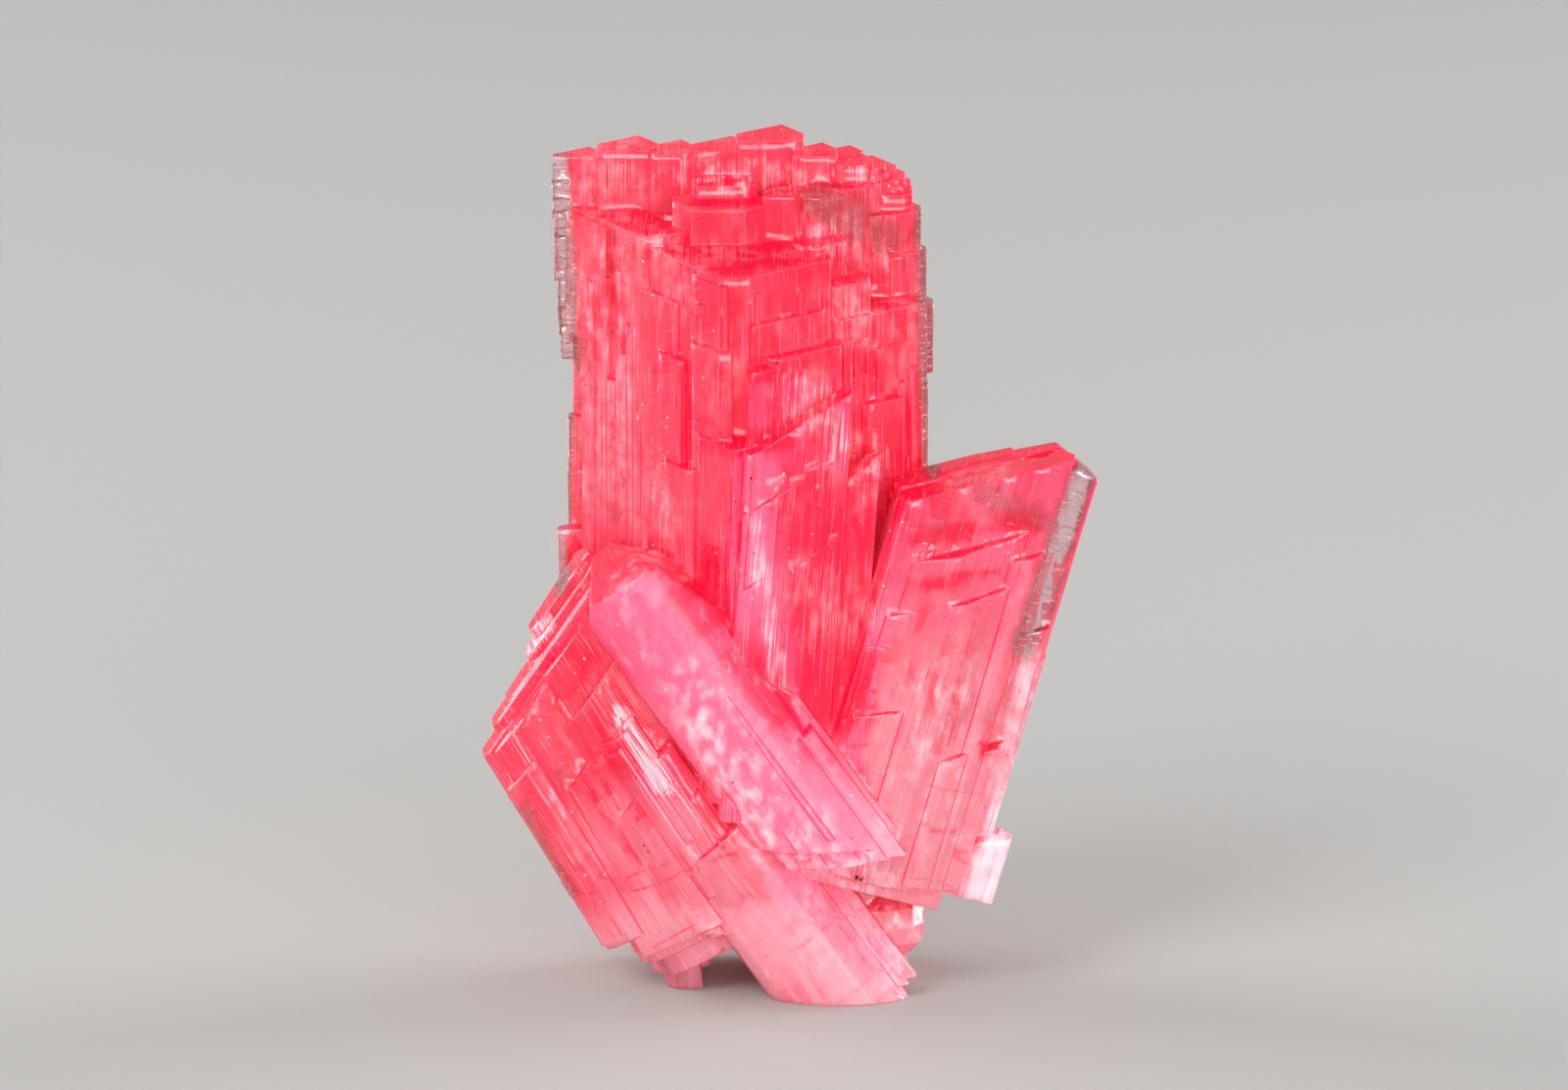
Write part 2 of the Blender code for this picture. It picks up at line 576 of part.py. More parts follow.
def feet(collection, rng):
    """Two lobes that reach the cut, with an open notch between them, and the mass that joins them.

    They run well to the back, so that the specimen stands on the cut by itself."""
    left = Crystal("left_foot", collection, rng, foot=(-3.35, 0.0, 0.0), lean=-9.0, end_roll=-30.0)
    left.blade(-0.62, 0.62, (-0.25, 0.25), -1.75, 3.3, -0.6, 3.2, side=FOOT_DEPTH)
    left.blade(-1.05, 0.95, (-0.45, 0.3), -1.45, 3.2, 0.55, 3.4, side=FOOT_DEPTH)
    left.blade(-1.7, 1.3, (-0.6, 0.4), -1.15, 3.0, 1.15, 3.6, side=FOOT_DEPTH)
    right = Crystal("right_foot", collection, rng, foot=(0.9, 0.0, 0.0), lean=7.0, end_roll=24.0)
    right.blade(-1.45, 2.3, (-0.6, 0.6), -2.4, 3.7, -0.7, 3.4, side=FOOT_DEPTH)
    right.blade(-1.75, 0.3, (-1.3, -0.6), -1.6, 3.4, 0.55, 3.4, side=FOOT_DEPTH)
    right.blade(0.2, 3.2, (1.0, 1.8), -1.9, 3.2, 0.4, 3.6, side=1.6)
    middle = Crystal("root", collection, rng, foot=(-1.0, 0.4, 0.0))
    middle.blade(-4.4, 5.0, (-1.8, 1.6), -3.6, 3.0, 2.35, 9.0, side=2.0)
    left.ribs((-0.8, -1.3), (-0.3, -1.75), 0.2, 3.0, 2)
    right.ribs((0.7, -2.35), (2.2, -1.7), -0.1, 3.0, 4)


def outer_shell_only(mesh_maker):
    """Small pockets closed in between the blades are filled: only the outer skin stays."""
    unseen = set(mesh_maker.faces)
    shells = []
    while unseen:
        stack = [unseen.pop()]
        shell = set(stack)
        while stack:
            face = stack.pop()
            for edge in face.edges:
                for other in edge.link_faces:
                    if other in unseen:
                        unseen.discard(other)
                        shell.add(other)
                        stack.append(other)
        shells.append(shell)
    largest = max(shells, key=lambda shell: sum(face.calc_area() for face in shell))
    inner = [face for shell in shells if shell is not largest for face in shell]
    bmesh.ops.delete(mesh_maker, geom=inner, context="FACES")


def centre_on_axis(mesh_maker):
    """Moves the mesh so that the middle of its box is on the Z axis."""
    across = [vert.co.x for vert in mesh_maker.verts]
    deep = [vert.co.y for vert in mesh_maker.verts]
    middle = Vector((0.5 * (min(across) + max(across)), 0.5 * (min(deep) + max(deep)), 0.0))
    mesh_maker.transform(Matrix.Translation(-middle))


def join_forms(collection, name, material):
    """Unites all forms, cuts the base flat at Z = 0 and leaves one closed mesh in metres."""
    forms = list(collection.objects)
    bpy.context.view_layer.update()
    seed_form = forms[0]
    collection.objects.unlink(seed_form)
    bpy.context.scene.collection.objects.link(seed_form)
    union = seed_form.modifiers.new("grown together", "BOOLEAN")
    union.operation = "UNION"
    union.solver = "EXACT"
    union.operand_type = "COLLECTION"
    union.collection = collection

    bpy.ops.mesh.primitive_cube_add(size=GROUND_SIZE, location=(0.0, 0.0, -0.5 * GROUND_SIZE))
    ground = bpy.context.object
    ground.name = "ground_cut"
    ground.hide_render = True
    ground.display_type = "WIRE"
    base_cut = seed_form.modifiers.new("base cut", "BOOLEAN")
    base_cut.operation = "DIFFERENCE"
    base_cut.solver = "EXACT"
    base_cut.object = ground

    bpy.context.view_layer.update()
    depsgraph = bpy.context.evaluated_depsgraph_get()
    mesh = bpy.data.meshes.new_from_object(seed_form.evaluated_get(depsgraph))
    mesh_maker = bmesh.new()
    mesh_maker.from_mesh(mesh)
    bmesh.ops.remove_doubles(mesh_maker, verts=mesh_maker.verts, dist=WELD)
    outer_shell_only(mesh_maker)
    bmesh.ops.triangulate(mesh_maker, faces=mesh_maker.faces)
    centre_on_axis(mesh_maker)
    mesh_maker.transform(Matrix.Scale(MM, 4))
    mesh_maker.to_mesh(mesh)
    mesh_maker.free()

    for helper in forms + [ground]:
        bpy.data.objects.remove(helper, do_unlink=True)
    bpy.data.collections.remove(collection)
    mesh.name = name
    mesh.materials.clear()
    mesh.materials.append(material)
    cluster = bpy.data.objects.new(name, mesh)
    bpy.context.scene.collection.objects.link(cluster)
    return cluster


def main():
    clear_scene()
    rng = random.Random(SEED)
    collection = bpy.data.collections.new("forms")
    bpy.context.scene.collection.children.link(collection)
    tower(collection, rng)
    tower_rear(collection, rng)
    front_blade(collection, rng)
    right_crystal(collection, rng)
    right_rear(collection, rng)
    left_plate(collection, rng)
    left_rear(collection, rng)
    front_bar(collection, rng)
    small_crystals(collection, rng)
    lower_lobe(collection, rng)
    side_lump(collection)
    feet(collection, rng)
    join_forms(collection, "rhodonite_cluster", crystal_material())


main()
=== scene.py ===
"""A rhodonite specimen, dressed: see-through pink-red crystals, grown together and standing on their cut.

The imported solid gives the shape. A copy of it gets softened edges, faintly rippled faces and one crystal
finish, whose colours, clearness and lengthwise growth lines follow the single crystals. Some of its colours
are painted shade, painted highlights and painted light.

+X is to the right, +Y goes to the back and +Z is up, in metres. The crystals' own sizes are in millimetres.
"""

import json
import math
from collections import namedtuple

import bmesh
import bpy
import numpy as np
from mathutils import Euler, Matrix, Vector
from mathutils.bvhtree import BVHTree

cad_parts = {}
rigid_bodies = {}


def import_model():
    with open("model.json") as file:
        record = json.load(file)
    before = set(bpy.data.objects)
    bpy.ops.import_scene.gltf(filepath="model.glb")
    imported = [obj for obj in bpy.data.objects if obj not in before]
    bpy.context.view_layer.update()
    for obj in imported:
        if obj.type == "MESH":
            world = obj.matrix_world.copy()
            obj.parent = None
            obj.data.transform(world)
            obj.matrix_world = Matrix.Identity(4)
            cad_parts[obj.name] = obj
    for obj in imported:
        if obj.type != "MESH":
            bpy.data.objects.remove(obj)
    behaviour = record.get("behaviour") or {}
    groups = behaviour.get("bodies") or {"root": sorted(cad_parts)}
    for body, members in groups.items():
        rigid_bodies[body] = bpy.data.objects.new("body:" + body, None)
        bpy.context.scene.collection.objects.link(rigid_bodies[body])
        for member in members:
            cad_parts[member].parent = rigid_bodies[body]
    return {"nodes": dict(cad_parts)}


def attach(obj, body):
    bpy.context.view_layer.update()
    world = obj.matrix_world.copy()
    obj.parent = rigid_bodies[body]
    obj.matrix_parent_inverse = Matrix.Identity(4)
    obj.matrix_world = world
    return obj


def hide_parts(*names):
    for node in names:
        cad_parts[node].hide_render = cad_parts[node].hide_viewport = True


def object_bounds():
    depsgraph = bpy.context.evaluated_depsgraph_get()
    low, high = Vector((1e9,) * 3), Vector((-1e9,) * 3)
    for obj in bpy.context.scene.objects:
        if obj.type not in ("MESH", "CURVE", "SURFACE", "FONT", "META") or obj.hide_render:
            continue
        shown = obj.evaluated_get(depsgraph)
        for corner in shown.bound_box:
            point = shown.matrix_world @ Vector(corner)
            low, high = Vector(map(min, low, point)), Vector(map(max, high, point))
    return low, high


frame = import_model()
SOLID_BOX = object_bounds()

bl_info = {
    "name": "Rhodonite specimen",
    "version": (1, 0, 0),
    "blender": (4, 5, 0),
    "location": "3D View > Sidebar > Rhodonite",
    "description": "Dresses a cluster of see-through pink-red crystals",
    "category": "Object",
}

NODE = "rhodonite_cluster"
PIECE = "rhodonite_crystals"
MM = 0.001
VIEW_RISE = math.radians(12.0)  # how far the viewer looks down on the specimen
VIEW_TARGET = (-0.16 * MM, 0.0, 15.22 * MM)
SPECIMEN_MIDDLE = (0.0, 0.0, 15.0 * MM)  # where the lights point

# One crystal: where its foot is, how it leans, pitches and turns, in degrees, and the two corners of the box
# that holds its faces. Sizes are in millimetres. Then come its colours at the root and at the tip, how clear
# it is and how strongly it is lined.
Crystal = namedtuple("Crystal", "name foot lean pitch turn low high root tip clear lines")

# Small crystals come before the large ones that they sit on.
CRYSTALS = [
    Crystal("small", (-2.8, -2.95, 4.4), -33.0, 0.0, 0.0, (-0.7, -1.05, -1.3), (1.7, -0.45, 6.2),
            "coral", "rose", 0.5, 1.0),
    Crystal("bar", (1.45, -2.95, 5.3), -35.6, 0.0, 0.0, (-2.2, -2.6, -1.3), (2.5, -0.5, 12.3),
            "petal", "magenta", 0.3, 0.2),
    Crystal("lobe", (1.5, -1.95, 0.3), -35.6, 0.0, 0.0, (-2.1, -2.4, -1.6), (2.6, -0.6, 5.4),
            "peach", "petal", 0.35, 0.4),
    Crystal("plate", (-3.3, -1.65, 3.0), -31.0, 0.0, 0.0, (-3.7, -2.1, -2.1), (4.0, 2.6, 12.6),
            "coral", "scarlet", 0.5, 0.9),
    Crystal("left_rear", (-3.6, 1.35, 2.6), -24.0, -6.0, 180.0, (-2.7, -3.1, -1.0), (2.8, 0.0, 9.6),
            "coral", "rose", 0.5, 0.6),
    Crystal("blade", (-1.95, -0.05, 9.6), 4.0, 0.0, 0.0, (-0.5, -4.8, -3.2), (4.7, -2.2, 12.2),
            "magenta", "rose", 0.4, 0.7),
    Crystal("right", (2.8, -2.35, 4.0), 16.3, 0.0, 0.0, (-3.3, -2.1, -0.6), (4.5, 1.7, 17.0),
            "peach", "rose", 0.5, 0.55),
    Crystal("right_rear", (3.2, 1.15, 3.0), 14.0, -7.0, 180.0, (-2.8, -2.9, 0.2), (2.9, 0.5, 13.6),
            "coral", "rose", 0.5, 0.6),
    Crystal("tower", (-0.2, 0.0, 0.0), 0.0, 0.0, 0.0, (-9.0, -9.0, -1.0), (9.0, 9.0, 40.0),
            "coral", "salmon", 0.5, 0.6),
]

# A stroke is a soft-edged line of one kind of growth, or of painted light or shade, as seen from the front:
# its ends (across, up), its half width, all in millimetres, and its strength. Across is along X, and up is
# measured square to the view. Clear strokes go through the crystal and painted light strokes go round it. The
# others stay on the front. A misty stroke is a clear one on the front alone.
Stroke = namedtuple("Stroke", "kind start end half strength")
STROKE_KINDS = ("clear", "deep", "painted_light", "frost_and_glints", "bloom", "smoke")
ALL_ROUND = ("clear", "painted_light")

STROKES = [
    # Clear strips along the upright crystal's edges, and its clear shoulder.
    Stroke("clear", (-7.8, 27.9), (-7.5, 21.0), 0.42, 1.0),
    Stroke("clear", (-7.55, 19.6), (-7.7, 13.4), 0.32, 0.85),
    Stroke("clear", (4.6, 26.3), (4.85, 17.4), 0.35, 0.9),
    Stroke("misty", (0.9, 26.6), (3.2, 25.4), 0.9, 0.7),
    # The clear right band of the right-hand crystal.
    Stroke("clear", (9.95, 17.2), (8.05, 11.4), 0.5, 1.0),
    Stroke("misty", (6.6, 16.6), (8.8, 15.6), 0.6, 0.7),
    # Clear foot of the flat crystal.
    Stroke("misty", (-9.0, 5.9), (-7.35, 3.0), 0.22, 0.8),
    # Deep red: partly the crystal's own deep colour, partly painted shade on end faces, under ledges and in
    # the heart between the crystals.
    Stroke("deep", (-4.6, 24.9), (1.2, 24.6), 0.6, 0.9),
    Stroke("deep", (-2.9, 26.0), (1.4, 25.8), 0.7, 0.6),
    Stroke("deep", (2.0, 27.4), (3.8, 26.9), 0.8, 0.5),
    Stroke("deep", (2.2, 23.2), (3.2, 22.8), 0.4, 0.8),
    Stroke("deep", (2.4, 24.0), (2.6, 15.0), 2.2, 0.5),
    Stroke("deep", (-1.6, 20.7), (1.4, 20.9), 0.3, 0.9),
    Stroke("deep", (-2.8, 18.2), (0.0, 18.5), 0.35, 0.9),
    Stroke("deep", (-2.6, 23.0), (-2.2, 14.0), 1.0, 0.4),
    Stroke("deep", (0.6, 16.2), (1.7, 9.6), 1.1, 1.0),
    Stroke("deep", (3.9, 17.8), (9.4, 18.2), 0.35, 0.9),
    Stroke("deep", (4.2, 15.1), (8.4, 15.7), 0.28, 0.85),
    Stroke("deep", (4.0, 13.4), (7.0, 14.0), 0.22, 0.75),
    Stroke("deep", (6.6, 7.9), (7.2, 7.9), 0.2, 0.9),
    Stroke("deep", (-6.6, 10.4), (-5.6, 8.0), 0.8, 0.9),
    Stroke("deep", (-8.4, 11.0), (-7.4, 11.4), 0.3, 0.9),
    Stroke("deep", (-6.2, 14.0), (-4.4, 14.6), 0.6, 0.8),
    Stroke("deep", (-3.6, 13.6), (0.8, 8.2), 0.75, 0.5),
    # Frosty white: feathered ends, bruises and scuffed edges, and a few painted glints.
    Stroke("frost_and_glints", (-10.1, 10.0), (-8.2, 12.2), 0.35, 0.9),
    Stroke("frost_and_glints", (-9.6, 9.2), (-7.2, 4.2), 0.28, 0.6),
    # Painted glints on the tips of the small crystals.
    Stroke("frost_and_glints", (-5.7, 9.2), (-4.3, 6.8), 0.42, 0.95),
    # Painted reflections: two glints of light off cracks near the top.
    Stroke("frost_and_glints", (-2.75, 27.6), (-2.3, 26.8), 0.14, 1.0),
    Stroke("frost_and_glints", (-1.75, 27.4), (-1.45, 26.8), 0.12, 0.9),
    Stroke("frost_and_glints", (8.2, 11.2), (7.0, 5.2), 0.4, 1.0),
    Stroke("frost_and_glints", (7.2, 4.6), (6.6, 2.7), 0.7, 1.4),
    Stroke("frost_and_glints", (0.4, 20.0), (2.6, 17.6), 0.9, 0.6),
    Stroke("frost_and_glints", (-4.4, 27.6), (2.4, 27.2), 0.7, 0.5),
    Stroke("frost_and_glints", (1.0, 25.8), (3.6, 24.6), 0.9, 0.55),
    Stroke("frost_and_glints", (-1.1, 15.6), (-0.3, 10.2), 0.35, 0.7),
    Stroke("frost_and_glints", (0.6, 4.4), (3.2, 3.4), 0.8, 0.7),
    Stroke("frost_and_glints", (-3.0, 8.6), (-0.9, 5.2), 0.7, 0.7),
    Stroke("frost_and_glints", (-3.4, 10.6), (-0.8, 7.4), 0.7, 0.4),
    Stroke("frost_and_glints", (-6.4, 24.4), (-6.2, 17.4), 1.1, 0.4),
    Stroke("frost_and_glints", (5.2, 9.4), (4.4, 5.6), 1.5, 0.5),
    # Painted light: peach where the roots meet, lightening their shade under the flat crystal, and down the
    # left side of the upright crystal.
    Stroke("painted_light", (-5.2, 1.0), (3.5, 1.2), 1.6, 0.9),
    Stroke("painted_light", (-3.4, 5.0), (-1.2, 2.6), 1.2, 0.5),
    Stroke("painted_light", (5.6, 9.4), (4.6, 4.4), 2.0, 0.8),
    Stroke("painted_light", (-6.2, 25.0), (-6.2, 17.0), 1.0, 0.35),
    Stroke("painted_light", (1.6, 27.0), (3.2, 25.2), 0.9, 0.3),
    Stroke("painted_light", (-6.2, 5.2), (-3.4, 3.4), 1.2, 0.3),
    # Smoky mottling.
    Stroke("smoke", (-6.5, 25.2), (-6.3, 16.0), 1.2, 0.9),
    Stroke("smoke", (1.2, 26.6), (3.9, 25.2), 0.9, 0.7),
    # Magenta bloom where crystals touch.
    Stroke("bloom", (-5.3, 13.2), (1.4, 4.4), 1.3, 0.5),
    Stroke("bloom", (0.2, 3.4), (2.8, 1.0), 0.7, 0.6),
    Stroke("bloom", (-0.9, 17.3), (-1.3, 12.0), 0.7, 0.8),
    # On the right-hand crystal's left side, this lilac band is partly a painted highlight.
    Stroke("bloom", (4.3, 16.6), (1.9, 9.0), 0.55, 0.8),
]


class ShapeSettings(bpy.types.PropertyGroup):
    """Sizes of the finished surface."""

    edge_width: bpy.props.FloatProperty(
        name="Edge width",
        description="Width of the narrow flat along every crystal edge",
        default=0.04 * MM,
        min=0.0,
        max=0.2 * MM,
        precision=6,
        unit="LENGTH",
    )
    cell: bpy.props.FloatProperty(
        name="Cell size",
        description="Spacing of the points that carry the colours and the ripple",
        default=0.36 * MM,
        min=0.2 * MM,
        max=2.0 * MM,
        precision=6,
        unit="LENGTH",
    )
    ripple: bpy.props.FloatProperty(
        name="Ripple",
        description="Height of the faint waves on the faces",
        default=0.018 * MM,
        min=0.0,
        max=0.1 * MM,
        precision=6,
        unit="LENGTH",
    )


class FinishSettings(bpy.types.PropertyGroup):
    """Colours and gloss of the crystal, some of them painted light and shade."""

    salmon: bpy.props.FloatVectorProperty(
        name="Salmon",
        description="Colour of the upright crystal",
        default=(0.97, 0.016, 0.08),
        min=0.0,
        max=1.0,
        subtype="COLOR",
    )
    scarlet: bpy.props.FloatVectorProperty(
        name="Scarlet",
        description="Colour of the flat crystal's tip and of the upright crystal's right side",
        default=(0.98, 0.012, 0.07),
        min=0.0,
        max=1.0,
        subtype="COLOR",
    )
    rose: bpy.props.FloatVectorProperty(
        name="Rose",
        description="Colour of the tips of the leaning crystals",
        default=(1.0, 0.058, 0.175),
        min=0.0,
        max=1.0,
        subtype="COLOR",
    )
    coral: bpy.props.FloatVectorProperty(
        name="Coral",
        description="Colour of the roots of the upright and the flat crystals",
        default=(1.0, 0.13, 0.215),
        min=0.0,
        max=1.0,
        subtype="COLOR",
    )
    magenta: bpy.props.FloatVectorProperty(
        name="Magenta pink",
        description="Colour of the rounded bar's tip and of the blade",
        default=(1.0, 0.075, 0.20),
        min=0.0,
        max=1.0,
        subtype="COLOR",
    )
    petal: bpy.props.FloatVectorProperty(
        name="Petal pink",
        description="Colour of the rounded bar's root",
        default=(1.0, 0.19, 0.31),
        min=0.0,
        max=1.0,
        subtype="COLOR",
    )
    # Peach also paints light, where the painted light strokes lie.
    peach: bpy.props.FloatVectorProperty(
        name="Peach pink",
        description="Colour of the lower lobes and of the right-hand crystal's root",
        default=(1.0, 0.32, 0.40),
        min=0.0,
        max=1.0,
        subtype="COLOR",
    )
    # Deep red also paints shade: on faces that point up, under ledges, in concave corners and in the deep
    # strokes.
    deep: bpy.props.FloatVectorProperty(
        name="Deep red",
        description="Colour of end faces, ledges and the heart of the cluster",
        default=(0.98, 0.004, 0.06),
        min=0.0,
        max=1.0,
        subtype="COLOR",
    )
    bloom: bpy.props.FloatVectorProperty(
        name="Bloom",
        description="Lilac pink where crystals touch",
        default=(1.0, 0.15, 0.30),
        min=0.0,
        max=1.0,
        subtype="COLOR",
    )
    # Frost also paints highlights on ridges and glints along cracks.
    frost_and_glints: bpy.props.FloatVectorProperty(
        name="Frost",
        description="Colour of milky patches, bruises and flecks",
        default=(1.0, 0.74, 0.81),
        min=0.0,
        max=1.0,
        subtype="COLOR",
    )
    smoky: bpy.props.FloatVectorProperty(
        name="Smoky red",
        description="Colour of dull smudges and smoky mottling",
        default=(0.50, 0.03, 0.06),
        min=0.0,
        max=1.0,
        subtype="COLOR",
    )
    dark_fleck: bpy.props.FloatVectorProperty(
        name="Dark fleck",
        description="Colour of the rare dark specks",
        default=(0.25, 0.03, 0.04),
        min=0.0,
        max=1.0,
        subtype="COLOR",
    )
    bare: bpy.props.FloatVectorProperty(
        name="Bare crystal",
        description="Colour of the clear strips along the edges",
        default=(1.0, 0.86, 0.88),
        min=0.0,
        max=1.0,
        subtype="COLOR",
    )
    inside: bpy.props.FloatVectorProperty(
        name="Inside",
        description="Colour that light takes on inside the crystal",
        default=(0.97, 0.25, 0.42),
        min=0.0,
        max=1.0,
        subtype="COLOR",
    )
    density: bpy.props.FloatProperty(
        name="Depth of colour",
        description="How quickly light takes on the inside colour, per metre",
        default=90.0,
        min=0.0,
        max=2000.0,
    )
    ior: bpy.props.FloatProperty(
        name="IOR",
        description="Index of refraction of rhodonite",
        default=1.73,
        min=1.0,
        max=2.5,
    )


class StageSettings(bpy.types.PropertyGroup):
    """Floor, lights and camera."""

    floor_colour: bpy.props.FloatVectorProperty(
        name="Floor",
        description="Colour of the plain floor",
        default=(0.43, 0.43, 0.42),
        min=0.0,
        max=1.0,
        subtype="COLOR",
    )
    key_power: bpy.props.FloatProperty(
        name="Key light",
        description="Power of the large soft light at the front left",
        default=1.18,
        min=0.0,
        subtype="POWER",
    )
    back_power: bpy.props.FloatProperty(
        name="Back light",
        description="Power of each of the two soft lights behind the specimen",
        default=1.6,
        min=0.0,
        subtype="POWER",
    )
    lens: bpy.props.FloatProperty(
        name="Lens",
        description="Focal length of the camera, in millimetres",
        default=200.0,
        min=20.0,
        max=400.0,
    )
    frame_width: bpy.props.FloatProperty(
        name="Frame width",
        description="Width of the picture at the specimen",
        default=53.6 * MM,
        precision=4,
        unit="LENGTH",
    )


# ---------------------------------------------------------------- shape


def select_only(piece):
    if bpy.context.mode != "OBJECT":
        bpy.ops.object.mode_set(mode="OBJECT")
    bpy.ops.object.select_all(action="DESELECT")
    piece.select_set(True)
    bpy.context.view_layer.objects.active = piece


def copy_of_solid(node, name):
    """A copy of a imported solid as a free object, in millimetres."""
    select_only(frame["nodes"][node])
    bpy.ops.object.duplicate()
    piece = bpy.context.view_layer.objects.active
    bpy.ops.object.parent_clear(type="CLEAR_KEEP_TRANSFORM")
    for key in list(piece.keys()):
        if key.startswith("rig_"):
            del piece[key]
    piece.name = name
    piece.data.name = name
    piece.data.transform(Matrix.Scale(1.0 / MM, 4))
    return piece


def merge_faces(piece):
    """Loose triangles become whole flat faces."""
    bpy.ops.object.mode_set(mode="EDIT")
    bpy.ops.mesh.select_all(action="SELECT")
    bpy.ops.mesh.remove_doubles(threshold=0.0001)
    bpy.ops.mesh.dissolve_limited(angle_limit=math.radians(0.3))
    bpy.ops.object.mode_set(mode="OBJECT")


def surface_of(mesh):
    """The mesh's surface as it is now, to measure distances from."""
    mesh.calc_loop_triangles()
    triangles = [tuple(triangle.vertices) for triangle in mesh.loop_triangles]
    return BVHTree.FromPolygons([vertex.co.copy() for vertex in mesh.vertices], triangles)


def pull_in_strays(mesh_maker, surface, reach):
    """The few crowded corners that a bevel throws off the surface go back beside their closest neighbour."""
    beside = 0.02
    for vertex in mesh_maker.verts:
        _, _, _, away = surface.find_nearest(vertex.co)
        if away > reach:
            neighbours = [edge.other_vert(vertex).co for edge in vertex.link_edges]
            closest = min(neighbours, key=lambda spot: (spot - vertex.co).length)
            vertex.co = closest.lerp(vertex.co, beside)


def mark_ridges(mesh_maker, width):
    """A face layer that is 1 on the narrow flats of ridges and -1 on those of corners."""
    ridge = mesh_maker.faces.layers.float.new("ridge")
    for face in mesh_maker.faces:
        longest = max(edge.calc_length() for edge in face.edges)
        narrow = face.calc_area() < 2.0 * width * longest
        if face.select and narrow:
            bend = sum(edge.calc_face_angle_signed(0.0) * edge.calc_length() for edge in face.edges)
            face[ridge] = math.copysign(1.0, bend)


def soften_edges(piece, width):
    """A narrow flat along each edge that is long and sharp enough."""
    shortest = 0.25
    least_angle = math.radians(12.0)
    sharp_surface = surface_of(piece.data)
    select_only(piece)
    bpy.ops.object.mode_set(mode="EDIT")
    bpy.ops.mesh.select_mode(type="EDGE")
    bpy.ops.mesh.select_all(action="DESELECT")
    mesh_maker = bmesh.from_edit_mesh(piece.data)
    for edge in mesh_maker.edges:
        angle = edge.calc_face_angle(0.0)
        edge.select_set(angle > least_angle and edge.calc_length() > shortest)
    bmesh.update_edit_mesh(piece.data)
    bpy.ops.mesh.bevel(offset=width, segments=1, affect="EDGES", clamp_overlap=False)
    mesh_maker = bmesh.from_edit_mesh(piece.data)
    mark_ridges(mesh_maker, width)
    pull_in_strays(mesh_maker, sharp_surface, 1.5 * width)
    bmesh.update_edit_mesh(piece.data)
    bpy.ops.object.mode_set(mode="OBJECT")


def cut_into_cells(piece, cell):
    """Cuts the faces along evenly spaced planes, so that colours and ripple have points to sit on."""
    corners = np.array([corner[:] for corner in piece.bound_box])
    low = corners.min(axis=0)
    high = corners.max(axis=0)
    first_plane = 0.63  # in cells from the low side, off the solid's own flat faces
    select_only(piece)
    bpy.ops.object.mode_set(mode="EDIT")
    for axis in range(3):
        normal = [0.0, 0.0, 0.0]
        normal[axis] = 1.0
        count = int((high[axis] - low[axis]) / cell)
        for index in range(count):
            place = [0.0, 0.0, 0.0]
            place[axis] = low[axis] + (index + first_plane) * cell
            bpy.ops.mesh.select_all(action="SELECT")
            bpy.ops.mesh.bisect(plane_co=place, plane_no=normal, threshold=0.0005)
    bpy.ops.mesh.select_all(action="SELECT")
    bpy.ops.mesh.quads_convert_to_tris(quad_method="BEAUTY", ngon_method="BEAUTY")
    bpy.ops.object.mode_set(mode="OBJECT")


def read(collection, name, width, kind=np.float64):
    values = np.empty(len(collection) * width, kind)
    collection.foreach_get(name, values)
    return values.reshape(-1, width) if width > 1 else values


def crystal_axes(crystal):
    """Columns: the crystal's own across, deep and lengthwise directions."""
    lean = Matrix.Rotation(math.radians(crystal.lean), 3, "Y")
    pitch = Matrix.Rotation(math.radians(crystal.pitch), 3, "X")
    turn = Matrix.Rotation(math.radians(crystal.turn), 3, "Z")
    return np.array(lean @ pitch @ turn)


def crystal_of_faces(middles, normals):
    """For each face, the number of the crystal that it belongs to."""
    owner = np.full(len(middles), len(CRYSTALS) - 1)
    taken = np.zeros(len(middles), bool)
    slack = 0.1
    side_tilt = 0.05
    end_tilt = 0.5
    for number, crystal in enumerate(CRYSTALS):
        axes = crystal_axes(crystal)
        local = (middles - np.array(crystal.foot)) @ axes
        along = np.abs(normals @ axes[:, 2])
        inside = (local > np.array(crystal.low) - slack).all(axis=1)
        inside &= (local < np.array(crystal.high) + slack).all(axis=1)
        inside &= (along < side_tilt) | (along > end_tilt)
        owner[inside & ~taken] = number
        taken |= inside
    return owner


def write_grain(piece):
    """A map in millimetres: U across each face and V along its crystal. It returns each point's crystal."""
    mesh = piece.data
    middles = read(mesh.polygons, "center", 3)
    normals = read(mesh.polygons, "normal", 3)
    owner = crystal_of_faces(middles, normals)
    points = read(mesh.vertices, "co", 3)
    corner_point = read(mesh.loops, "vertex_index", 1, np.int32)
    corner_count = read(mesh.polygons, "loop_total", 1, np.int32)
    corner_face = np.repeat(np.arange(len(middles)), corner_count)
    grain = np.zeros((len(corner_point), 2))
    apart = 17.0  # keeps the crystals' patterns from repeating each other
    end_face = 0.6
    for number, crystal in enumerate(CRYSTALS):
        axes = crystal_axes(crystal)
        mine = owner[corner_face] == number
        faces = corner_face[mine]
        spots = points[corner_point[mine]] - np.array(crystal.foot)
        across = np.cross(axes[:, 2], normals[faces])
        length = np.linalg.norm(across, axis=1)
        side = length > end_face
        across[side] /= length[side, None]
        across[~side] = axes[:, 0]
        lengthwise = np.where(side[:, None], axes[:, 2], axes[:, 1])
        grain[mine, 0] = (spots * across).sum(axis=1) + apart * number
        grain[mine, 1] = (spots * lengthwise).sum(axis=1)
    layer = mesh.uv_layers.new(name="grain")
    layer.data.foreach_set("uv", grain.astype(np.float32).ravel())
    point_owner = np.zeros(len(points), int)
    point_owner[corner_point] = owner[corner_face]
    return point_owner


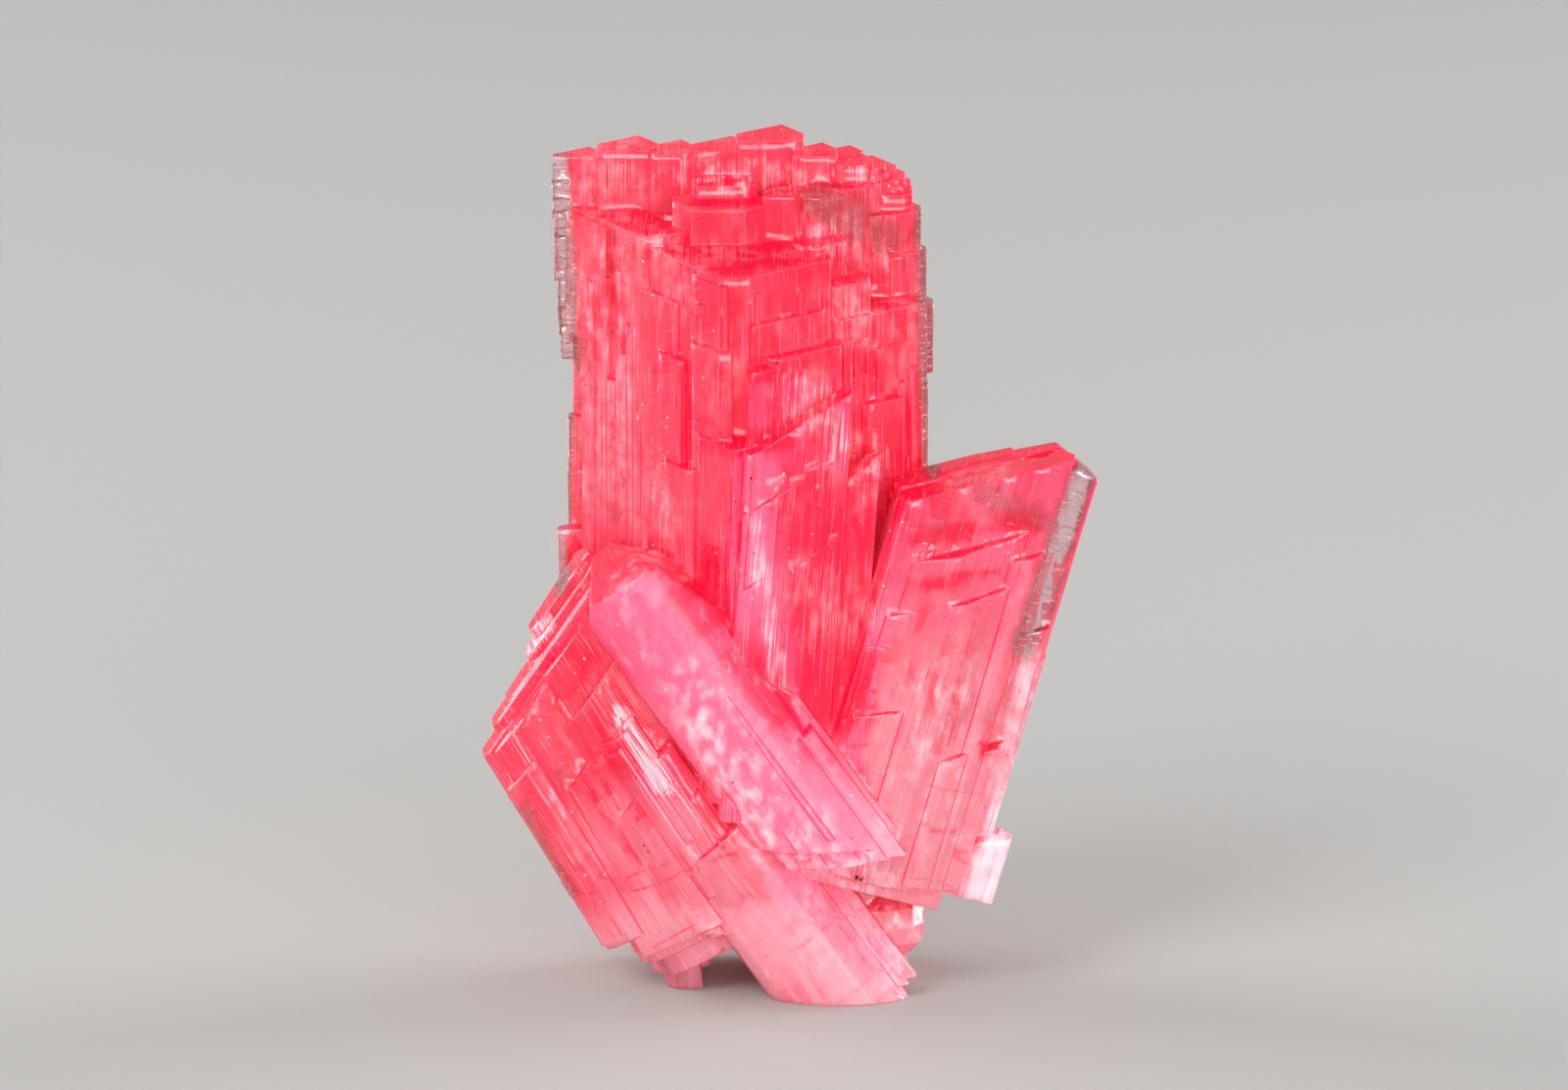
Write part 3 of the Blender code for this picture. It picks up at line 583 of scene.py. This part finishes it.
def stroke_strength(stroke, across, up):
    """How strong a stroke is at each point: full along its line and soft towards its edge."""
    full_within = 0.6  # of the half width
    start = np.array(stroke.start)
    line = np.array(stroke.end) - start
    spots = np.stack([across, up], axis=1) - start
    share = np.clip((spots @ line) / max(line @ line, 1e-9), 0.0, 1.0)
    away = np.linalg.norm(spots - share[:, None] * line, axis=1) / stroke.half
    return stroke.strength * np.clip(1.0 + full_within - away, 0.0, 1.0)


def write_growth(piece, point_owner, finish):
    """Colour and clearness at each point, from the crystal that it belongs to and from the strokes."""
    mesh = piece.data
    points = read(mesh.vertices, "co", 3)
    normals = read(mesh.vertices, "normal", 3)
    across = points[:, 0]
    up = points[:, 2] * math.cos(VIEW_RISE) + points[:, 1] * math.sin(VIEW_RISE)
    in_front = normals[:, 1] < 0.35
    tint = np.ones((len(points), 4))
    layers = {kind: np.zeros(len(points)) for kind in (*STROKE_KINDS, "lines")}
    for number, crystal in enumerate(CRYSTALS):
        mine = point_owner == number
        along = (points[mine] - np.array(crystal.foot)) @ crystal_axes(crystal)[:, 2]
        share = np.clip(along / min(crystal.high[2], SOLID_BOX[1][2] / MM), 0.0, 1.0)[:, None]
        root = np.array(getattr(finish, crystal.root))
        tip = np.array(getattr(finish, crystal.tip))
        tint[mine, :3] = root + (tip - root) * share
        layers["clear"][mine] = crystal.clear
        layers["lines"][mine] = crystal.lines
    for stroke in STROKES:
        strength = stroke_strength(stroke, across, up)
        if stroke.kind not in ALL_ROUND:
            strength *= in_front
        kind = "clear" if stroke.kind == "misty" else stroke.kind
        layers[kind] = np.maximum(layers[kind], strength)
    colour = mesh.attributes.new("tint", "FLOAT_COLOR", "POINT")
    colour.data.foreach_set("color", tint.astype(np.float32).ravel())
    for name, values in layers.items():
        layer = mesh.attributes.new(name, "FLOAT", "POINT")
        layer.data.foreach_set("value", values.astype(np.float32))
    # Painted shade: faces that point up, such as end faces, are painted deeper red, for the depth of colour
    # that the eye sees along the crystal there.
    face_rise = read(mesh.polygons, "normal", 3)[:, 2]
    level_from, level_gain = 0.4, 3.0
    painted_shade_on_tops = np.clip((face_rise - level_from) * level_gain, 0.0, 1.0)
    layer = mesh.attributes.new("end", "FLOAT", "FACE")
    layer.data.foreach_set("value", painted_shade_on_tops.astype(np.float32))


def ripple_faces(piece, height):
    """Faint waves on the faces, none on the cut."""
    cut_height = 0.05
    group = piece.vertex_groups.new(name="rippled")
    above_cut = [vertex.index for vertex in piece.data.vertices if vertex.co.z > cut_height]
    group.add(above_cut, 1.0, "REPLACE")
    waves = bpy.data.textures.new("ripple", "CLOUDS")
    waves.noise_scale = 1.3
    waves.noise_depth = 2
    modifier = piece.modifiers.new("ripple", "DISPLACE")
    modifier.texture = waves
    modifier.texture_coords = "LOCAL"
    modifier.strength = height
    modifier.mid_level = 0.5
    modifier.vertex_group = group.name
    select_only(piece)
    bpy.ops.object.modifier_apply(modifier=modifier.name)


# ---------------------------------------------------------------- finish


class Finish:
    """A material's node tree, built node by node."""

    def __init__(self, name):
        self.material = bpy.data.materials.new(name)
        self.material.use_nodes = True
        self.tree = self.material.node_tree
        self.shader = self.tree.nodes["Principled BSDF"]
        self.output = self.tree.nodes["Material Output"]

    def put(self, socket, value):
        if isinstance(value, bpy.types.NodeSocket):
            self.tree.links.new(value, socket)
        else:
            socket.default_value = value

    def node(self, kind, **inputs):
        made = self.tree.nodes.new(kind)
        for name, value in inputs.items():
            self.put(made.inputs[name.replace("_", " ")], value)
        return made

    def attribute(self, name):
        made = self.tree.nodes.new("ShaderNodeAttribute")
        made.attribute_name = name
        return made

    def math(self, operation, first, second=0.0, clamp=False):
        made = self.tree.nodes.new("ShaderNodeMath")
        made.operation = operation
        made.use_clamp = clamp
        self.put(made.inputs[0], first)
        self.put(made.inputs[1], second)
        return made.outputs[0]

    def stretch(self, vector, scale, shift=(0.0, 0.0, 0.0)):
        made = self.node("ShaderNodeMapping", Vector=vector, Scale=scale, Location=shift)
        return made.outputs["Vector"]

    def times(self, first, second):
        return self.math("MULTIPLY", first, second)

    def plus(self, first, second, clamp=False):
        return self.math("ADD", first, second, clamp)

    def largest(self, first, *others):
        for other in others:
            first = self.math("MAXIMUM", first, other)
        return first

    def noise(self, vector, detail):
        made = self.node("ShaderNodeTexNoise", Vector=vector, Scale=1.0, Detail=detail, Roughness=0.55)
        return made.outputs["Fac"]

    def cells(self, vector, uneven):
        """A number from 0 to 1 that is the same all over each block."""
        made = self.node("ShaderNodeTexVoronoi", Vector=vector, Scale=1.0, Randomness=uneven)
        made.distance = "CHEBYCHEV"
        parts = self.node("ShaderNodeSeparateColor", Color=made.outputs["Color"])
        return parts.outputs["Red"]

    def specks(self, place, scale, radius, bright_share, dark_share):
        """Small scattered specks, as two numbers: 1 inside the bright ones, and 1 inside the dark ones."""
        made = self.node("ShaderNodeTexVoronoi", Vector=place, Scale=scale)
        parts = self.node("ShaderNodeSeparateColor", Color=made.outputs["Color"])
        pick = parts.outputs["Green"]
        inside = self.between(made.outputs["Distance"], radius, 1.6 * radius, 1.0, 0.0)
        bright = self.times(inside, self.math("GREATER_THAN", pick, 1.0 - bright_share))
        dark = self.times(inside, self.math("LESS_THAN", pick, dark_share))
        return bright, dark

    def line(self, value, middle, half):
        """1 where the value is at the middle, falling to 0 at half a width away."""
        away = self.math("ABSOLUTE", self.math("SUBTRACT", value, middle))
        return self.between(away, 0.0, half, 1.0, 0.0)

    def between(self, value, low, high, at_low=0.0, at_high=1.0):
        """The value taken from low..high to 0..1, smoothly, or to other ends."""
        made = self.tree.nodes.new("ShaderNodeMapRange")
        made.interpolation_type = "SMOOTHSTEP"
        for name, number in (
            ("Value", value),
            ("From Min", low),
            ("From Max", high),
            ("To Min", at_low),
            ("To Max", at_high),
        ):
            self.put(made.inputs[name], number)
        return made.outputs["Result"]

    def blend(self, share, first, second):
        """A number between two numbers."""
        made = self.node("ShaderNodeMix", Factor=share)
        self.put(made.inputs[2], first)
        self.put(made.inputs[3], second)
        return made.outputs[0]

    def mix(self, share, first, second):
        """A colour between two colours."""
        made = self.tree.nodes.new("ShaderNodeMix")
        made.data_type = "RGBA"
        self.put(made.inputs["Factor"], share)
        self.put(made.inputs[6], first)
        self.put(made.inputs[7], second)
        return made.outputs[2]


def colour4(colour):
    return (*colour, 1.0)


# What the colour, the clearness and the relief are made of: noises and blocks, all numbers from 0 to 1.
Pattern = namedtuple(
    "Pattern", "broad_streaks streaks hairlines cracks ledges blocks small_blocks clouds fine_clouds"
)


def growth_pattern(finish, place, grain):
    """Growth lines, cracks and cleavage blocks on the crystal's own map, and clouds in space."""
    return Pattern(
        broad_streaks=finish.noise(finish.stretch(grain, (1.3, 0.10, 1.0)), 1.0),
        streaks=finish.noise(finish.stretch(grain, (5.5, 0.22, 1.0)), 1.0),
        hairlines=finish.noise(finish.stretch(grain, (19.0, 0.45, 1.0)), 1.0),
        cracks=finish.noise(finish.stretch(grain, (0.7, 6.0, 1.0), (3.0, 1.0, 0.0)), 1.0),
        ledges=finish.noise(finish.stretch(grain, (0.14, 0.7, 1.0), (5.0, 2.0, 0.0)), 0.0),
        blocks=finish.cells(finish.stretch(grain, (0.9, 0.38, 1.0)), 0.75),
        small_blocks=finish.cells(finish.stretch(grain, (2.6, 1.1, 1.0)), 0.8),
        clouds=finish.noise(finish.stretch(place, (330.0, 330.0, 240.0)), 3.0),
        fine_clouds=finish.noise(finish.stretch(place, (2300.0, 2300.0, 1400.0)), 2.0),
    )


def red_and_painted_shade(finish, layers, pattern):
    """Where the crystal turns deep red: its own streaks and blocks, the deep strokes, which are partly
    painted shade, and painted shade on faces that point up and under ledges.
    """
    lines = layers["lines"]
    redder = finish.times(finish.between(pattern.broad_streaks, 0.42, 0.72, 0.0, 0.6), lines)
    redder = finish.plus(redder, finish.times(finish.math("SUBTRACT", pattern.blocks, 0.4), 0.5))
    redder = finish.plus(redder, finish.times(finish.math("SUBTRACT", pattern.small_blocks, 0.4), 0.3))
    redder = finish.plus(redder, layers["deep"])
    # Painted shade on faces that point up.
    redder = finish.plus(redder, finish.times(layers["end"], 0.8))
    redder = finish.between(redder, 0.1, 1.0)
    # Painted shade: thin deep red lines under ledges, in some places.
    some_places = finish.between(pattern.clouds, 0.4, 0.6)
    painted_ledge_shade = finish.times(finish.line(pattern.ledges, 0.6, 0.02), some_places)
    return finish.largest(redder, finish.times(painted_ledge_shade, lines))


def milk_and_painted_highlights(finish, layers, pattern):
    """Where the crystal turns white: its milk from the frosty strokes, haze and hairlines, and painted
    highlights on ridges and painted glints along cracks.
    """
    lines = layers["lines"]
    lined = finish.plus(finish.times(pattern.streaks, 0.4), finish.times(pattern.hairlines, 0.6))
    mottled = finish.blend(lines, pattern.fine_clouds, lined)
    milk = finish.between(
        finish.plus(mottled, finish.times(layers["frost_and_glints"], 0.28)),
        finish.blend(lines, 0.48, 0.64),
        finish.blend(lines, 1.15, 0.86),
    )
    haze = finish.between(pattern.clouds, 0.48, 0.75, 0.0, 0.4)
    haze = finish.times(haze, finish.between(mottled, 0.4, 0.6))
    white_lines = finish.times(finish.between(pattern.hairlines, 0.62, 0.74, 0.0, 0.4), lines)
    # Painted highlights: white on the narrow flats of convex ridges, in some places.
    some_places = finish.between(pattern.clouds, 0.35, 0.65, 0.0, 0.22)
    painted_ridge_highlight = finish.times(finish.between(layers["ridge"], 0.5, 1.0), some_places)
    painted_ridge_highlight = finish.times(painted_ridge_highlight, lines)
    # Painted glints: thin white lines where cracks cross the clear strips.
    glints = finish.times(finish.line(pattern.cracks, 0.58, 0.02), finish.between(layers["clear"], 0.6, 0.9))
    return finish.largest(milk, glints, haze, white_lines, painted_ridge_highlight)


def smudges(finish, layers, pattern):
    """Where the crystal is dull and smoky."""
    dull_spots = finish.times(finish.between(pattern.clouds, 0.28, 0.42, 0.5, 0.0), layers["lines"])
    smoky_spots = finish.times(layers["smoke"], finish.between(pattern.fine_clouds, 0.36, 0.52, 0.6, 0.0))
    return finish.largest(dull_spots, smoky_spots)


def crystal_colour(finish, settings, layers, pattern, milk_and_highlights, place):
    """The colour layers, one over the other, among them painted light, painted shade and painted highlights.
    """
    bright_specks, dark_specks = finish.specks(place, 2600.0, 0.08, 0.14, 0.12)
    # Painted shade: deep red on the narrow flats in concave corners.
    corners = finish.between(layers["ridge"], -1.0, -0.5, 0.7, 0.0)
    clear_strips = finish.between(layers["clear"], 0.65, 1.0, 0.0, 0.85)
    colour = layers["tint"]
    for share, layer_colour in (
        # Painted light, in peach, where the painted light strokes lie.
        (layers["painted_light"], settings.peach),
        (layers["bloom"], settings.bloom),
        # Deep red: the crystal's own streaks and blocks, and painted shade.
        (red_and_painted_shade(finish, layers, pattern), settings.deep),
        (smudges(finish, layers, pattern), settings.smoky),
        # Milk, with painted highlights on ridges and painted glints on cracks.
        (milk_and_highlights, settings.frost_and_glints),
        (bright_specks, settings.frost_and_glints),
        (dark_specks, settings.dark_fleck),
        # Painted shade in the corners.
        (corners, settings.deep),
        (clear_strips, settings.bare),
    ):
        colour = finish.mix(share, colour, colour4(layer_colour))
    return colour


def crystal_relief(finish, layers, pattern):
    """Fine growth lines, block steps and cracks."""
    relief = finish.plus(pattern.streaks, finish.times(pattern.hairlines, 0.45))
    relief = finish.times(relief, layers["lines"])
    relief = finish.plus(relief, pattern.blocks)
    crack_lines = finish.times(finish.line(pattern.cracks, 0.58, 0.02), layers["clear"])
    relief = finish.math("SUBTRACT", relief, finish.times(crack_lines, 0.8))
    bump = finish.node("ShaderNodeBump", Strength=0.7, Distance=0.02 * MM, Height=relief)
    return bump.outputs["Normal"]


def crystal_finish(settings):
    """One see-through finish for the whole cluster."""
    finish = Finish("rhodonite")
    place = finish.node("ShaderNodeTexCoord").outputs["Object"]
    grain_map = finish.node("ShaderNodeUVMap")
    grain_map.uv_map = "grain"
    names = (*STROKE_KINDS, "lines", "end", "ridge")
    layers = {name: finish.attribute(name).outputs["Fac"] for name in names}
    layers["tint"] = finish.attribute("tint").outputs["Color"]
    pattern = growth_pattern(finish, place, grain_map.outputs["UV"])
    milk_and_highlights = milk_and_painted_highlights(finish, layers, pattern)

    see_through = finish.between(layers["clear"], 0.2, 1.0, 0.06, 0.97)
    see_through = finish.math("SUBTRACT", see_through, finish.times(milk_and_highlights, 0.3), clamp=True)
    dull = finish.between(layers["clear"], 0.2, 1.0, 0.22, 0.04)
    dull = finish.plus(dull, finish.between(layers["lines"], 0.2, 0.6, 0.18, 0.0))
    dull = finish.plus(dull, finish.times(milk_and_highlights, 0.25))
    dull = finish.plus(dull, finish.between(pattern.fine_clouds, 0.4, 0.7, -0.04, 0.08), clamp=True)

    finish.shader.subsurface_method = "BURLEY"
    for name, value in {
        "Base Color": crystal_colour(finish, settings, layers, pattern, milk_and_highlights, place),
        "Transmission Weight": see_through,
        "Roughness": dull,
        "Normal": crystal_relief(finish, layers, pattern),
        "IOR": settings.ior,
        "Specular IOR Level": 0.16,
        "Subsurface Weight": 0.8,
        "Subsurface Radius": (1.0, 0.30, 0.38),
        "Subsurface Scale": 1.3 * MM,
        "Coat Weight": 0.1,
        "Coat Roughness": 0.06,
        "Coat IOR": 1.6,
    }.items():
        finish.put(finish.shader.inputs[name], value)

    absorption = finish.node(
        "ShaderNodeVolumeAbsorption", Color=colour4(settings.inside), Density=settings.density
    )
    finish.put(finish.output.inputs["Volume"], absorption.outputs["Volume"])
    return finish.material


# ---------------------------------------------------------------- operators


class RHODONITE_OT_cluster(bpy.types.Operator):
    """Make the crystal cluster: soften its edges, ripple its faces and give it its finish"""

    bl_idname = "rhodonite.cluster"
    bl_label = "Crystal cluster"

    def execute(self, context):
        shape = context.scene.rhodonite_shape
        finish = context.scene.rhodonite_finish
        piece = copy_of_solid(NODE, PIECE)
        merge_faces(piece)
        soften_edges(piece, shape.edge_width / MM)
        cut_into_cells(piece, shape.cell / MM)
        point_owner = write_grain(piece)
        write_growth(piece, point_owner, finish)
        ripple_faces(piece, shape.ripple / MM)
        piece.data.transform(Matrix.Scale(MM, 4))
        select_only(piece)
        bpy.ops.object.shade_smooth_by_angle(angle=math.radians(20.0))
        piece.data.materials.clear()
        piece.data.materials.append(crystal_finish(finish))
        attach(piece, "root")
        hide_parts(NODE)
        return {"FINISHED"}


def area_light(name, place, target, size, power, colour):
    light = bpy.data.lights.new(name, "AREA")
    light.shape = "RECTANGLE"
    light.size, light.size_y = size
    light.energy = power
    light.color = colour
    lamp = bpy.data.objects.new(name, light)
    lamp.location = place
    lamp.rotation_euler = (Vector(target) - Vector(place)).to_track_quat("-Z", "Y").to_euler()
    bpy.context.scene.collection.objects.link(lamp)
    return lamp


class RHODONITE_OT_stage(bpy.types.Operator):
    """Make the plain floor, the soft lights and the camera"""

    bl_idname = "rhodonite.stage"
    bl_label = "Stage"

    def execute(self, context):
        stage = context.scene.rhodonite_stage
        bpy.ops.object.select_all(action="DESELECT")
        bpy.ops.mesh.primitive_plane_add(size=3.0, location=(0.0, 0.0, 0.0))
        floor = context.object
        floor.name = "floor"
        floor_finish = Finish("floor")
        floor_finish.shader.inputs["Base Color"].default_value = colour4(stage.floor_colour)
        floor_finish.shader.inputs["Roughness"].default_value = 0.9
        floor.data.materials.append(floor_finish.material)

        world = bpy.data.worlds.new("studio")
        world.use_nodes = True
        background = world.node_tree.nodes["Background"]
        background.inputs["Color"].default_value = (1.0, 1.0, 1.0, 1.0)
        background.inputs["Strength"].default_value = 0.55
        context.scene.world = world

        key, back = stage.key_power, stage.back_power
        for name, place, size, power, colour in (
            ("key_light", (-0.24, -0.32, 0.32), (0.24, 0.24), key, (1.0, 0.98, 0.96)),
            ("fill_light", (0.12, -0.42, 0.09), (0.40, 0.12), key, (1.0, 1.0, 1.0)),
            ("back_light_left", (-0.40, 0.17, 0.12), (0.24, 0.24), back, (1.0, 0.98, 0.98)),
            ("back_light_right", (0.40, 0.17, 0.12), (0.24, 0.24), back, (1.0, 0.98, 0.98)),
        ):
            area_light(name, place, SPECIMEN_MIDDLE, size, power, colour)

        lens = bpy.data.cameras.new("camera")
        lens.lens = stage.lens
        lens.clip_start = 0.01
        lens.clip_end = 10.0
        camera = bpy.data.objects.new("camera", lens)
        distance = stage.frame_width * stage.lens / lens.sensor_width
        towards_viewer = Vector((0.0, -math.cos(VIEW_RISE), math.sin(VIEW_RISE)))
        camera.location = Vector(VIEW_TARGET) + towards_viewer * distance
        camera.rotation_euler = Euler((math.radians(90.0) - VIEW_RISE, 0.0, 0.0))
        context.scene.collection.objects.link(camera)
        context.scene.camera = camera
        context.scene.view_settings.view_transform = "Standard"
        return {"FINISHED"}


class VIEW3D_PT_rhodonite(bpy.types.Panel):
    """Settings and steps of the rhodonite specimen"""

    bl_label = "Rhodonite specimen"
    bl_space_type = "VIEW_3D"
    bl_region_type = "UI"
    bl_category = "Rhodonite"

    def draw(self, context):
        for group in (
            context.scene.rhodonite_shape,
            context.scene.rhodonite_finish,
            context.scene.rhodonite_stage,
        ):
            box = self.layout.box()
            for name in group.__annotations__:
                box.prop(group, name)
        for operator in STEPS:
            self.layout.operator(operator.bl_idname)


STEPS = (RHODONITE_OT_cluster, RHODONITE_OT_stage)
SETTINGS = {
    "rhodonite_shape": ShapeSettings,
    "rhodonite_finish": FinishSettings,
    "rhodonite_stage": StageSettings,
}
CLASSES = (*SETTINGS.values(), *STEPS, VIEW3D_PT_rhodonite)


def register():
    for made in CLASSES:
        bpy.utils.register_class(made)
    for name, group in SETTINGS.items():
        setattr(bpy.types.Scene, name, bpy.props.PointerProperty(type=group))


def unregister():
    for name in SETTINGS:
        delattr(bpy.types.Scene, name)
    for made in reversed(CLASSES):
        bpy.utils.unregister_class(made)


def main():
    register()
    bpy.ops.rhodonite.cluster()
    bpy.ops.rhodonite.stage()


if __name__ == "__main__":
    main()
